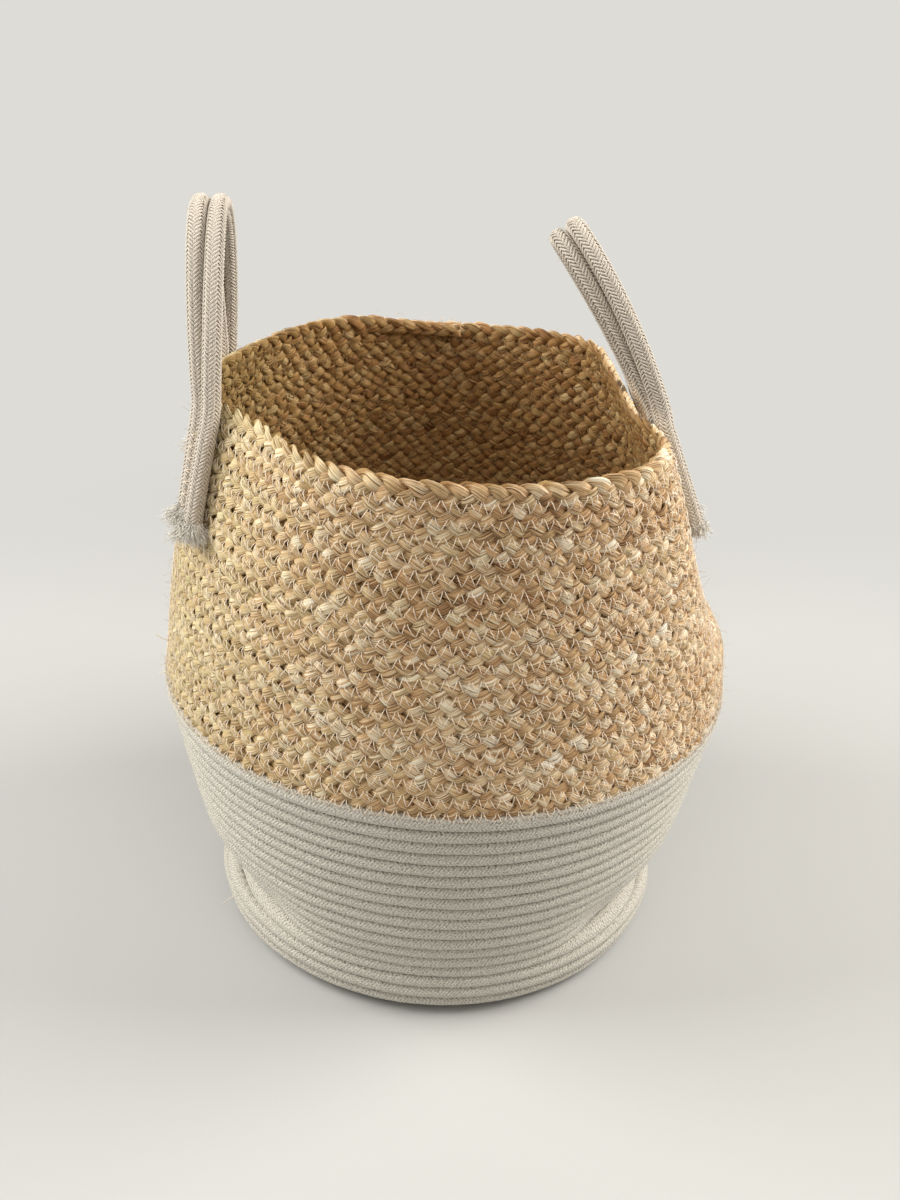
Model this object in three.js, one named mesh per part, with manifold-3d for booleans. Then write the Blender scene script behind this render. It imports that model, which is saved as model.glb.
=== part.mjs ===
// Woven planter basket: a sewn coil of cotton cord below, sewn rows of braided raffia above,
// and two carrying handles, each a pair of braided cotton cords sewn to the outside of the wall.
// Millimetres, +Z up, origin at the middle of the flat base. The front faces -Y.
import * as THREE from 'three';
import Module from 'manifold-3d';
import { mergeVertices } from 'three/addons/utils/BufferGeometryUtils.js';

const wasm = await Module();
wasm.setup();

// The wall's middle line, from the flat base to the rim
const FLAT_RADIUS = 134;
const FOOT_CORNER = 15;
const CREASE_RADIUS = 152;
const CREASE_HEIGHT = 45;
const SEAM_RADIUS = 180;
const SEAM_HEIGHT = 178;
const BELLY_DRAW_IN = 2.5;
const BELLY_HEIGHT = 206;
const RIM_RADIUS = 147;
const RIM_HEIGHT = 366;
const LOWER_FLARE = 0.9;
const UPPER_TAPER = 1.34;
const BELLY_RADIUS = SEAM_RADIUS - BELLY_DRAW_IN;

// How the soft wall has lost its round shape: the mouth is oval and pushed forward, pulled out
// and dented beside the left handle, flat where the right handle hangs with a sharp corner in
// front of it, and the wall is tucked in above the foot at the sides and the back
const MOUTH_OVAL = 11.2;
const MOUTH_SHIFT = 6.1;
const MOUTH_SHIFT_ANGLE = 303;
const MOUTH_RISE = 2.4;
const FLAT_SIDE_DISTANCE = 100.5;
const FLAT_SIDE_ANGLE = 3.4;
const FLAT_SIDE_SHARPNESS = 18;
const FLAT_SIDE_RISE = 0.78;
const FLAT_SIDE_START = 1 / 8;
const PULL_ANGLE = 190;
const PULL_WIDTH = 16.6;
const PULL_DEPTH = 10;
const DENT_ANGLE = 221.5;
const DENT_WIDTH = 20.8;
const DENT_DEPTH = 13.9;
const CORNER_ANGLE = 326;
const CORNER_WIDTH = 10.8;
const CORNER_DEPTH = 12.5;
const TUCK_DEPTH = 10;
const TUCK_SPREAD = 14;
const TUCK_FRONT_LIMIT = -0.82;

// The sewn rows
const COTTON_ROWS = 19;
const COTTON_THICKNESS = 9.6;
const COTTON_GROOVE = 1.7;
const RAFFIA_ROWS = 19;
const RAFFIA_THICKNESS = 8.6;
const RAFFIA_GROOVE = 1.6;

// The handles
const HANDLE_CORD = 10.3;
const PIVOT_ABOVE_RIM = 4.5;
const LEFT_ARCH_HEIGHT = 98.4;
const RIGHT_ARCH_HEIGHT = 107.5;
const LEG_LENGTH = 64;
const LEG_STAGGER = 6;

// Each handle: the angles around the wall of its feet and of its legs' cut ends, front then
// back, how far the feet stand off the wall, how square its arch is, how soon its pair of cords
// turns, and how it leans over the mouth at its feet and at its top
const HANDLES = [
  {
    name: 'left',
    side: -1,
    feet: [204.5, 165],
    ends: [208, 164],
    standOff: [0.8, 0.6],
    height: LEFT_ARCH_HEIGHT,
    squareness: 2,
    turnEase: 0.8,
    lean: [1, 0.2],
  },
  {
    name: 'right',
    side: 1,
    feet: [-22.5, 10],
    ends: [-21.5, 10],
    standOff: [1.2, 0.6],
    height: RIGHT_ARCH_HEIGHT,
    squareness: 2.1,
    turnEase: 0.8,
    lean: [25.5, 36],
  },
];

// The sewing thread
const THREAD = 1.0;
const STITCH_PITCH = 6.8;
const STITCH_REACH = 5.4;
const LEG_STITCH_REACH = 4.6;

const CLEARANCE = 0.3;
const LEG_CLEARANCE = 0.4;
const PAIR_CLEARANCE = 0.7;
const BEND_CLEARANCE = 0.1;

// How finely curves are cut
const SEGMENTS = 40;
const INNER_RINGS = 8;
const CORD_SIDES = 10;
const END_RINGS = 8;
const THREAD_SIDES = 3;
const ARCH_STEPS = 22;
const LEG_STEPS = 8;
const FOOT_STEP_DEGREES = 15;
const LOWER_WALL_POINTS = [0, 0.15, 0.35, 0.6, 0.82, 1];
const UPPER_WALL_POINTS = [0, 0.2, 0.4, 0.6, 0.8, 1];
const LENGTH_SAMPLES = 600;
const HALVINGS = 30;
const TANGENT_STEP = 0.01;
const SEAT_STEP = 0.1;
const MERGE_DISTANCE = 1e-4;

const cord = HANDLE_CORD / 2;
const pairHalf = (HANDLE_CORD + PAIR_CLEARANCE) / 2;

const material = (color, roughness) => new THREE.MeshStandardMaterial({ color, roughness, metalness: 0 });
const COTTON = material(0xd8d3c6, 0.95);
const RAFFIA = material(0xc09a68, 0.8);
const HANDLE = material(0xd9d1c1, 0.95);
const SEWING_THREAD = material(0xf0e8d8, 0.7);

const part = new THREE.Group();

function addPiece(name, geometry, finish) {
  const mesh = new THREE.Mesh(geometry, finish.clone());
  mesh.name = name;
  part.add(mesh);
}

// The middle line of the wall: a rounded foot, a slight crease, the flare up to the seam
// between cotton and raffia, and the taper from the belly to the rim
function makeWallLine() {
  const points = [];
  const footRadius = FLAT_RADIUS + FOOT_CORNER;
  const footHeight = FOOT_CORNER + COTTON_THICKNESS / 2;
  for (let angle = 0; angle <= 90; angle += FOOT_STEP_DEGREES) {
    const a = THREE.MathUtils.degToRad(angle);
    points.push([FLAT_RADIUS + FOOT_CORNER * Math.sin(a), footHeight - FOOT_CORNER * Math.cos(a)]);
  }
  points.push([(footRadius + CREASE_RADIUS) / 2, (footHeight + CREASE_HEIGHT) / 2]);
  for (const t of LOWER_WALL_POINTS) {
    const radius = THREE.MathUtils.lerp(CREASE_RADIUS, SEAM_RADIUS, t ** LOWER_FLARE);
    points.push([radius, THREE.MathUtils.lerp(CREASE_HEIGHT, SEAM_HEIGHT, t)]);
  }
  for (const t of UPPER_WALL_POINTS) {
    const radius = THREE.MathUtils.lerp(BELLY_RADIUS, RIM_RADIUS, t ** UPPER_TAPER);
    points.push([radius, THREE.MathUtils.lerp(BELLY_HEIGHT, RIM_HEIGHT, t)]);
  }
  const line = new THREE.SplineCurve(points.map(([r, z]) => new THREE.Vector2(r, z)));
  line.arcLengthDivisions = LENGTH_SAMPLES;
  return line;
}

const wallLine = makeWallLine();
const wallLength = wallLine.getLength();

// Distance along the wall line at which it reaches a height
function lengthAtHeight(height) {
  let low = 0;
  let high = 1;
  for (let i = 0; i < HALVINGS; i += 1) {
    const middle = (low + high) / 2;
    if (wallLine.getPointAt(middle).y < height) {
      low = middle;
    } else {
      high = middle;
    }
  }
  return low * wallLength;
}

const seamLength = lengthAtHeight(SEAM_HEIGHT);

// Radius and height of the round wall at a distance along its line and a distance outside it
function roundWall(length, outside) {
  const u = THREE.MathUtils.clamp(length / wallLength, 0, 1);
  const point = wallLine.getPointAt(u);
  const along = wallLine.getTangentAt(u);
  return new THREE.Vector2(point.x + outside * along.y, point.y - outside * along.x);
}

// A smooth bump around the wall: 1 at an angle in degrees, fading over a width in degrees
function bumpAt(degrees, middle, width) {
  const away = ((degrees - middle + 540) % 360) - 180;
  return Math.exp(-((away / width) ** 2));
}

// What the soft wall's own shape adds to a radius, at an angle around it and a height
function shapeShift(radius, angle, height) {
  const rise = Math.max(0, (height - BELLY_HEIGHT) / (RIM_HEIGHT - BELLY_HEIGHT));
  const degrees = THREE.MathUtils.radToDeg(angle);
  const mouthRise = rise ** MOUTH_RISE;
  const shift = MOUTH_SHIFT * Math.cos(angle - THREE.MathUtils.degToRad(MOUTH_SHIFT_ANGLE));
  const pull = PULL_DEPTH * bumpAt(degrees, PULL_ANGLE, PULL_WIDTH);
  const dent = DENT_DEPTH * bumpAt(degrees, DENT_ANGLE, DENT_WIDTH);
  const oval = radius + (MOUTH_OVAL * Math.sin(angle) ** 2 + shift + pull - dent) * mouthRise;
  const facing = Math.max(0, Math.cos(angle - THREE.MathUtils.degToRad(FLAT_SIDE_ANGLE)));
  const flatSide = radius + (FLAT_SIDE_DISTANCE - RIM_RADIUS) * rise ** FLAT_SIDE_RISE;
  const power = FLAT_SIDE_SHARPNESS;
  const squeezed = (oval ** -power + (facing / flatSide) ** power) ** (-1 / power);
  const pressed = THREE.MathUtils.lerp(oval, squeezed, Math.min(1, rise / FLAT_SIDE_START));
  const corner = CORNER_DEPTH * bumpAt(degrees, CORNER_ANGLE, CORNER_WIDTH) * mouthRise;
  const besideFront = THREE.MathUtils.smoothstep(Math.sin(angle), TUCK_FRONT_LIMIT, 0);
  const tuck = TUCK_DEPTH * besideFront * Math.exp(-(((height - CREASE_HEIGHT) / TUCK_SPREAD) ** 2));
  return pressed + corner - radius - tuck;
}

// A point of the real wall: an angle in degrees, a distance along the line, a distance outside
function wallPoint(degrees, length, outside) {
  const angle = THREE.MathUtils.degToRad(degrees);
  const spot = roundWall(length, outside);
  const radius = spot.x + shapeShift(spot.x, angle, spot.y);
  return new THREE.Vector3(radius * Math.cos(angle), radius * Math.sin(angle), spot.y);
}

// A point squarely off the wall's middle face, and the direction in which the wall runs there
function offWall(degrees, length, outside) {
  const low = Math.min(length, wallLength) - TANGENT_STEP;
  const here = wallPoint(degrees, length, 0);
  const around = wallPoint(degrees + TANGENT_STEP, length, 0).sub(here).normalize();
  const up = wallPoint(degrees, low + TANGENT_STEP, 0).sub(wallPoint(degrees, low, 0));
  const out = new THREE.Vector3().crossVectors(around, up).normalize();
  return { point: here.addScaledVector(out, outside), around };
}

// A closed band of sewn rows, ridged outside and plain inside, turned on a lathe and then
// pressed into the shape of the soft wall
function rowBand(start, end, rows, thickness, groove) {
  const profile = [];
  for (let row = 0; row < rows; row += 1) {
    const at = (fraction) => THREE.MathUtils.lerp(start, end, (row + fraction) / rows);
    profile.push(roundWall(at(0), thickness / 2 - groove));
    profile.push(roundWall(at(0.5), thickness / 2));
  }
  profile.push(roundWall(end, thickness / 2 - groove));
  for (let ring = INNER_RINGS; ring >= 0; ring -= 1) {
    profile.push(roundWall(THREE.MathUtils.lerp(start, end, ring / INNER_RINGS), -thickness / 2));
  }
  profile.push(profile[0].clone());
  const geometry = new THREE.LatheGeometry(profile, SEGMENTS);
  geometry.rotateX(Math.PI / 2);
  const position = geometry.getAttribute('position');
  for (let i = 0; i < position.count; i += 1) {
    const radius = Math.hypot(position.getX(i), position.getY(i));
    const angle = Math.atan2(position.getY(i), position.getX(i));
    const shaped = radius + shapeShift(radius, angle, position.getZ(i));
    position.setXY(i, shaped * Math.cos(angle), shaped * Math.sin(angle));
  }
  return geometry;
}

// The flat base: its edge follows the lowest row of the wall
function baseDisc() {
  const outside = roundWall(0, COTTON_THICKNESS / 2);
  const inside = roundWall(0, -COTTON_THICKNESS / 2);
  const profile = [
    new THREE.Vector2(0, 0),
    new THREE.Vector2(outside.x - COTTON_GROOVE - CLEARANCE, 0),
    new THREE.Vector2(inside.x - CLEARANCE, COTTON_THICKNESS),
    new THREE.Vector2(0, COTTON_THICKNESS),
  ];
  const geometry = new THREE.LatheGeometry(profile, SEGMENTS);
  geometry.rotateX(Math.PI / 2);
  return geometry;
}

// A round section swept along a line of points
function sweep(points, radius, sides, steps) {
  const outline = new THREE.Shape();
  outline.moveTo(radius, 0);
  for (let i = 1; i < sides; i += 1) {
    const a = (2 * Math.PI * i) / sides;
    outline.lineTo(radius * Math.cos(a), radius * Math.sin(a));
  }
  const path = new THREE.CatmullRomCurve3(points, false, 'centripetal');
  return new THREE.ExtrudeGeometry(outline, { steps, extrudePath: path, curveSegments: 1 });
}

function toSolid(geometry) {
  const plain = geometry.clone();
  plain.deleteAttribute('normal');
  plain.deleteAttribute('uv');
  const merged = mergeVertices(plain, MERGE_DISTANCE);
  const vertProperties = new Float32Array(merged.getAttribute('position').array);
  const triVerts = new Uint32Array(merged.getIndex().array);
  return new wasm.Manifold(new wasm.Mesh({ numProp: 3, vertProperties, triVerts }));
}

function toGeometry(solid) {
  const mesh = solid.getMesh();
  const geometry = new THREE.BufferGeometry();
  geometry.setAttribute('position', new THREE.BufferAttribute(mesh.vertProperties, 3));
  geometry.setIndex(new THREE.BufferAttribute(mesh.triVerts, 1));
  geometry.computeVertexNormals();
  return geometry;
}

// A handle cord with a round end wherever it bends at the rim
function roundEndedCord(points, roundedEnds, steps) {
  let solid = toSolid(sweep(points, cord, CORD_SIDES, steps));
  for (const end of roundedEnds) {
    const ball = new THREE.SphereGeometry(cord, CORD_SIDES, END_RINGS);
    ball.translate(end.x, end.y, end.z);
    solid = solid.add(toSolid(ball));
  }
  return toGeometry(solid);
}

// The pivot line of a handle runs through both feet, just outside the rim and above it
function pivotLine(handle) {
  const feet = handle.feet.map((degrees, i) => {
    const foot = offWall(degrees, wallLength, RAFFIA_THICKNESS / 2 + cord + handle.standOff[i]).point;
    foot.z = RIM_HEIGHT + PIVOT_ABOVE_RIM;
    return foot;
  });
  const along = feet[1].clone().sub(feet[0]);
  const width = along.length();
  along.normalize();
  return { feet, along, width };
}

// One cord of a handle's loop. The pair lies along the pivot line at the feet and turns a
// quarter turn on its way up, so that its cords lie side by side at the top of the arch.
function loopRoute(handle, sign) {
  const { feet, along, width } = pivotLine(handle);
  const inward = new THREE.Vector3(-handle.side, 0, 0);
  inward.addScaledVector(along, -inward.dot(along)).normalize();
  const [footLean, topLean] = handle.lean.map(THREE.MathUtils.degToRad);
  const power = 2 / handle.squareness;
  const place = (turn) => {
    const c = Math.cos(turn);
    const s = Math.max(0, Math.sin(turn));
    const u = (width / 2) * (1 - Math.sign(c) * Math.abs(c) ** power);
    return new THREE.Vector2(u, handle.height * s ** power);
  };
  const leaning = (angle) => {
    const direction = new THREE.Vector3(0, 0, Math.cos(angle));
    return direction.addScaledVector(inward, Math.sin(angle));
  };
  const points = [];
  for (let i = 0; i <= ARCH_STEPS; i += 1) {
    const turn = (Math.PI * i) / ARCH_STEPS;
    const here = place(turn);
    const before = place(Math.max(0, turn - TANGENT_STEP));
    const after = place(Math.min(Math.PI, turn + TANGENT_STEP));
    const run = after.sub(before).normalize();
    const climb = here.y / handle.height;
    const twist = (Math.PI / 2) * (1 - (1 - climb) ** handle.turnEase);
    const lean = THREE.MathUtils.lerp(footLean, topLean, climb);
    const up = leaning(lean);
    const across = new THREE.Vector3().crossVectors(along, up);
    const point = feet[0].clone().addScaledVector(along, here.x);
    point.addScaledVector(leaning((footLean + lean) / 2), here.y);
    const outward = new THREE.Vector3().addScaledVector(along, -run.y).addScaledVector(up, run.x);
    point.addScaledVector(outward, sign * pairHalf * Math.cos(twist));
    point.addScaledVector(across, sign * pairHalf * Math.sin(twist));
    points.push(point);
  }
  return points;
}

// Where one cord of a sewn leg lies on the wall, at a distance down from the rim
function legPoint(handle, foot, sign, down, outside) {
  const share = down / LEG_LENGTH;
  const degrees = THREE.MathUtils.lerp(handle.feet[foot], handle.ends[foot], share);
  const { point, around } = offWall(degrees, wallLength - down, outside);
  const outwardTurn = Math.sign(handle.feet[foot] - handle.feet[1 - foot]);
  return point.addScaledVector(around, sign * outwardTurn * pairHalf);
}

// A sewn leg starts where it clears the loop's round end and stops at its cut end
function legRoute(handle, foot, sign) {
  const outside = RAFFIA_THICKNESS / 2 + LEG_CLEARANCE + cord;
  const pivot = loopRoute(handle, sign)[foot === 0 ? 0 : ARCH_STEPS];
  let top = 0;
  while (legPoint(handle, foot, sign, top, outside).distanceTo(pivot) < HANDLE_CORD + BEND_CLEARANCE) {
    top += SEAT_STEP;
  }
  const bottom = LEG_LENGTH + (sign * LEG_STAGGER) / 2;
  const points = [];
  for (let i = 0; i <= LEG_STEPS; i += 1) {
    const down = THREE.MathUtils.lerp(top, bottom, i / LEG_STEPS);
    points.push(legPoint(handle, foot, sign, down, outside));
  }
  return points;
}

// A zigzag of thread over the two cords of a leg
function legThread(handle, foot) {
  const outside = RAFFIA_THICKNESS / 2 + LEG_CLEARANCE + HANDLE_CORD + CLEARANCE + THREAD / 2;
  const first = HANDLE_CORD + STITCH_PITCH;
  const last = LEG_LENGTH - STITCH_PITCH;
  const count = Math.floor((last - first) / (STITCH_PITCH / 2));
  const points = [];
  for (let i = 0; i <= count; i += 1) {
    const down = first + (i * STITCH_PITCH) / 2;
    const sign = (i % 2 === 0 ? 1 : -1) * (LEG_STITCH_REACH / pairHalf);
    points.push(legPoint(handle, foot, sign, down, outside));
  }
  return zigzag(points, false);
}

// Thread as one closed body with a triangular section along a zigzag of points
function zigzag(points, closed) {
  const positions = [];
  const index = [];
  const count = points.length;
  points.forEach((point, i) => {
    const before = points[closed ? (i + count - 1) % count : Math.max(0, i - 1)];
    const after = points[closed ? (i + 1) % count : Math.min(count - 1, i + 1)];
    const run = after.clone().sub(before).normalize();
    const out = new THREE.Vector3(point.x, point.y, 0).normalize();
    const side = new THREE.Vector3().crossVectors(run, out).normalize();
    const face = new THREE.Vector3().crossVectors(side, run).normalize();
    for (let k = 0; k < THREAD_SIDES; k += 1) {
      const a = (2 * Math.PI * k) / THREAD_SIDES;
      const corner = point.clone();
      corner.addScaledVector(face, (THREAD / 2) * Math.cos(a));
      corner.addScaledVector(side, (THREAD / 2) * Math.sin(a));
      positions.push(corner.x, corner.y, corner.z);
    }
  });
  const stretches = closed ? count : count - 1;
  for (let i = 0; i < stretches; i += 1) {
    for (let k = 0; k < THREAD_SIDES; k += 1) {
      const a = i * THREAD_SIDES + k;
      const b = i * THREAD_SIDES + ((k + 1) % THREAD_SIDES);
      const c = ((i + 1) % count) * THREAD_SIDES + k;
      const d = ((i + 1) % count) * THREAD_SIDES + ((k + 1) % THREAD_SIDES);
      index.push(a, b, c, b, d, c);
    }
  }
  if (!closed) {
    const last = (count - 1) * THREAD_SIDES;
    index.push(0, 2, 1);
    index.push(last, last + 1, last + 2);
  }
  const geometry = new THREE.BufferGeometry();
  geometry.setAttribute('position', new THREE.Float32BufferAttribute(positions, 3));
  geometry.setIndex(index);
  geometry.computeVertexNormals();
  return geometry;
}

// The zigzag that sews the lowest raffia row to the highest cotton row, all the way round
function seamThread() {
  const ridge = (thickness, groove, row) => thickness / 2 - groove * (1 - STITCH_REACH / row);
  const cottonRow = seamLength / COTTON_ROWS;
  const raffiaRow = (wallLength - seamLength) / RAFFIA_ROWS;
  const overCotton = ridge(COTTON_THICKNESS, COTTON_GROOVE, cottonRow) + CLEARANCE + THREAD / 2;
  const overRaffia = ridge(RAFFIA_THICKNESS, RAFFIA_GROOVE, raffiaRow) + CLEARANCE + THREAD / 2;
  const pairs = Math.round((2 * Math.PI * SEAM_RADIUS) / STITCH_PITCH);
  const points = [];
  for (let i = 0; i < pairs * 2; i += 1) {
    const above = i % 2 === 0;
    const length = seamLength + (above ? 0.5 : -0.5) * STITCH_REACH;
    points.push(wallPoint((180 * i) / pairs, length, above ? overRaffia : overCotton));
  }
  return zigzag(points, true);
}

addPiece('cotton_base', baseDisc(), COTTON);
const cottonEnd = seamLength - CLEARANCE / 2;
const raffiaStart = seamLength + CLEARANCE / 2;
addPiece('cotton_wall', rowBand(0, cottonEnd, COTTON_ROWS, COTTON_THICKNESS, COTTON_GROOVE), COTTON);
const raffiaBand = rowBand(raffiaStart, wallLength, RAFFIA_ROWS, RAFFIA_THICKNESS, RAFFIA_GROOVE);
addPiece('raffia_wall', raffiaBand, RAFFIA);
addPiece('seam_thread', seamThread(), SEWING_THREAD);

for (const handle of HANDLES) {
  for (const [label, sign] of [['long', 1], ['short', -1]]) {
    const loop = loopRoute(handle, sign);
    const ends = [loop[0], loop[ARCH_STEPS]];
    addPiece(`${handle.name}_loop_${label}_cord`, roundEndedCord(loop, ends, ARCH_STEPS), HANDLE);
    ['front', 'back'].forEach((place, foot) => {
      const leg = legRoute(handle, foot, sign);
      const geometry = roundEndedCord(leg, [leg[0]], LEG_STEPS);
      addPiece(`${handle.name}_${place}_leg_${label}_cord`, geometry, HANDLE);
    });
  }
  ['front', 'back'].forEach((place, foot) => {
    addPiece(`${handle.name}_${place}_leg_thread`, legThread(handle, foot), SEWING_THREAD);
  });
}

export default part;
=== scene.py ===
import math

import bpy
import numpy as np
from mathutils import Matrix, Vector


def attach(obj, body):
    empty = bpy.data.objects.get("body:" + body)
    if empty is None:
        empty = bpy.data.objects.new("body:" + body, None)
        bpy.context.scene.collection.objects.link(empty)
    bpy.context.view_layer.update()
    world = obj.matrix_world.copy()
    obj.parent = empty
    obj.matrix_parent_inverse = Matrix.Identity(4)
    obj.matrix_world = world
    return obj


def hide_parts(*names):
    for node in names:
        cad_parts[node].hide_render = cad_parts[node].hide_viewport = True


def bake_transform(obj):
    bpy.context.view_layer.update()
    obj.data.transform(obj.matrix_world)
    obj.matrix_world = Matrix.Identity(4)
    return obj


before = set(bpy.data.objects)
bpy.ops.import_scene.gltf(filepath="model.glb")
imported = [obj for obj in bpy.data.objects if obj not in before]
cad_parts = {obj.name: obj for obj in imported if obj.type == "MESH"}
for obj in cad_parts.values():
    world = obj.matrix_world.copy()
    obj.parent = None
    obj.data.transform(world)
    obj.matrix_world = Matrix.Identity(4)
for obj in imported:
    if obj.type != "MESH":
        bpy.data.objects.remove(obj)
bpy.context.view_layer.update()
random = np.random.default_rng(11)

# The wall's middle line and its soft shape, as the frame's solids have them
FLAT_RADIUS = 0.134
FOOT_CORNER = 0.015
CREASE_RADIUS = 0.152
CREASE_HEIGHT = 0.045
SEAM_RADIUS = 0.180
SEAM_HEIGHT = 0.178
BELLY_RADIUS = 0.1775
BELLY_HEIGHT = 0.206
RIM_RADIUS = 0.147
RIM_HEIGHT = 0.366
LOWER_FLARE = 0.9
UPPER_TAPER = 1.34
LOWER_WALL_POINTS = np.array([0, 0.15, 0.35, 0.6, 0.82, 1])
UPPER_WALL_POINTS = np.array([0, 0.2, 0.4, 0.6, 0.8, 1])
MOUTH_OVAL = 0.0112
MOUTH_SHIFT = 0.0061
MOUTH_SHIFT_ANGLE = math.radians(303)
MOUTH_RISE = 2.4
FLAT_SIDE_DISTANCE = 0.1005
FLAT_SIDE_ANGLE = math.radians(3.4)
FLAT_SIDE_SHARPNESS = 18
FLAT_SIDE_RISE = 0.78
FLAT_SIDE_START = 1 / 8
PULL_ANGLE = math.radians(190)
PULL_WIDTH = math.radians(16.6)
PULL_DEPTH = 0.010
DENT_ANGLE = math.radians(221.5)
DENT_WIDTH = math.radians(20.8)
DENT_DEPTH = 0.0139
CORNER_ANGLE = math.radians(326)
CORNER_WIDTH = math.radians(10.8)
CORNER_DEPTH = 0.0125

# The fold above the foot, sharper than in the solids. It dips towards the back and fades out in front.
TUCK_FRONT_LIMIT = -0.93
TUCK_FRONT_FADE = 0.25
TUCK_HEIGHT = 0.0345
TUCK_RISE = 0.021
TUCK_DEPTH = 0.011
TUCK_ABOVE = 0.026
TUCK_BELOW = 0.009

# The sewn rows: one coil that starts at the middle of the base and climbs clockwise to the rim
COTTON_ROWS = 19
COTTON_THICKNESS = 0.0096
RAFFIA_ROWS = 19
RAFFIA_THICKNESS = 0.0086
COIL_START = math.radians(90)

# The cotton cord. Its rows widen where the fold stretches the wall, so that no gap opens there.
# Here and below, each WANDER is an unevenness: the steps between its knots, and its strength.
COTTON_STEP = 0.0032
COTTON_SIDES = 12
COTTON_SQUARENESS = 2.5
COTTON_FIRST_TURN = 0.35
COTTON_OVERLAP = 0.0001
COTTON_SHRINK = 0.985
COTTON_LUMPS = 0.018
COTTON_LUMP_LIMIT = 0.015
COTTON_UP_WANDER = (9, 0.00012)
COTTON_OUT_WANDER = (7, 0.00012)
COTTON_THICKNESS_WANDER = (6, 0.012)
STRETCH_GAIN = 1.3
STRETCH_LIMIT = 1.8
END_TAPER_TURNS = 0.03
END_HEIGHT = 0.6
END_THICKNESS = 0.7
FLOOR_GAP = 0.00005

# The braid of raffia
STRANDS = 3
STRAND_STEP = 0.0020
STRAND_SIDES = 10
STRAND_WIDTH = 0.0070
STRAND_THICKNESS = 0.0026
STRAND_NARROWEST = 0.84
STRAND_WIDENING = 0.24
STRAND_ROLL = 0.12
BRAID_LENGTHS = 4
BRAID_PERIOD = 0.0318
BRAID_REACH = 0.0038
BRAID_SKEW = -0.03
BRAID_FOLD = 0.04
BRAID_DIVE = 0.1
BRAID_DEPTH = 0.0018
BRAID_HEIGHT_WANDER = (40, 0.0003)
BRAID_PHASE_WANDER = (24, 0.25)
STRAND_PHASE_WANDER = (8, 0.10)
STRAND_PLACE_WANDER = (6, 0.00018)
STRAND_LIFT_WANDER = (5, 0.00015)
STRAND_WIDTH_WANDER = (6, 0.09)
STRAND_THICKNESS_WANDER = (6, 0.08)
STRAND_ROLL_WANDER = (7, 0.22)
LEAF_FOLDS = 3
LEAF_FOLD_DEPTH = 0.10
LEAF_FOLD_WANDER = (9, 1.5)
LEAF_LUMP_WANDER = (5, 0.06)

# The leaf's own colour: a middle tone that wanders at three scales, and greener at the left handle
MIDDLE_TONE = 0.50
TONE_WANDERS = [(4, 0.07), (12, 0.07), (60, 0.06)]
GREEN_WANDER = (22, 0.11)
GREEN_LEFT = 0.55
GREEN_LEFT_WIDTH = 0.9
GREEN_LIMIT = 0.75

# The braid's ends: it starts just before the seam. At the rim it is tucked down by a share of a row,
# and in behind it.
BRAID_EARLY_TURNS = 0.012
TUCKED_TURNS = 0.1
TUCKED_DOWN = 0.6
TUCKED_IN = 0.006
TUCKED_SIZE = 0.7

# The handles: the angles of their feet and cut ends are in degrees round the rim, front and back.
# The arch takes over the lie of a leg's two cords from LIE_DEPTH below the rim.
HANDLE_CORD = 0.0103
PIVOT_ABOVE_RIM = 0.0045
LEG_LENGTH = 0.064
LEG_STAGGER = 0.006
LEG_TOP = 0.008
LEG_CLEARANCE = 0.0004
PAIR_CLEARANCE = 0.0007
LIE_DEPTH = 0.004
ARCH_STEPS = 22
CORD_STEP = 0.0013
HANDLES = [
    dict(name="left", side=-1, feet=(204.5, 165), ends=(208, 164), stand_off=(0.0008, 0.0006),
         height=0.0984, squareness=2, turn_ease=0.8, lean=(1, 0.2),
         fibres=900, tuft=0.0115, flare=0.0080),
    dict(name="right", side=1, feet=(-22.5, 10), ends=(-21.5, 10), stand_off=(0.0012, 0.0006),
         height=0.1075, squareness=2.1, turn_ease=0.8, lean=(25.5, 36),
         fibres=500, tuft=0.0065, flare=0.0035),
]

# The sheath of a handle cord: yarns wound each way, and the columns in which they cross
YARNS = 14
YARN_COLUMNS = 8
YARN_LEAD = 0.032
YARN_WIDTH = 0.00152
YARN_THICKNESS = 0.00104
YARN_DEPTH = 0.0006
YARN_WAVE = 0.0005
YARN_CROSSING = 2.2
CORE_GAP = 0.0004

# The frayed ends
FRAY_START = 0.0025
FRAY_WIDTH = 0.85
FRAY_LENGTHS = (0.55, 1.05)
FRAY_SPLAYS = (0.5, 1.3)
FRAY_CURL = 0.0019
FRAY_WAVE = 0.0012
FRAY_THICKNESS = 0.00056
FRAY_THICKNESSES = (0.7, 1.5)

# Stray fibres: on a handle cord, over the cotton wall, at its top edge, and hairs on the raffia
FUZZ_LEAN = 0.7
FUZZ_LENGTHS = (0.4, 1.3)
FUZZ_CURL = 0.5
CORD_FIBRES = dict(count=300, length=0.0016, thickness=0.00018)
WALL_FIBRES = dict(count=3500, length=0.0018, thickness=0.00016)
EDGE_FIBRES = dict(count=3500, length=0.0022, thickness=0.00018)
RAFFIA_HAIRS = dict(count=1400, length=0.0045, thickness=0.00022)
EDGE_PLACE = 0.45
FIBRE_ROOT = 0.0038

# The sewing thread, and the finer one in the cotton
THREAD = 0.00056
COTTON_THREAD = 0.000448
STITCH_PITCH = 0.0068
STITCH_TOP_GAP = 0.0006
STITCH_SHIFT = 0.0006
SEAM_SHIFT = 0.0008
STITCH_SCATTER_UP = 0.0003
STITCH_SCATTER_ALONG = 0.0005
STITCH_DIVE = 0.18
STITCH_ROUNDNESS = 0.6
MEAN_RADIUS = 0.165

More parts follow.
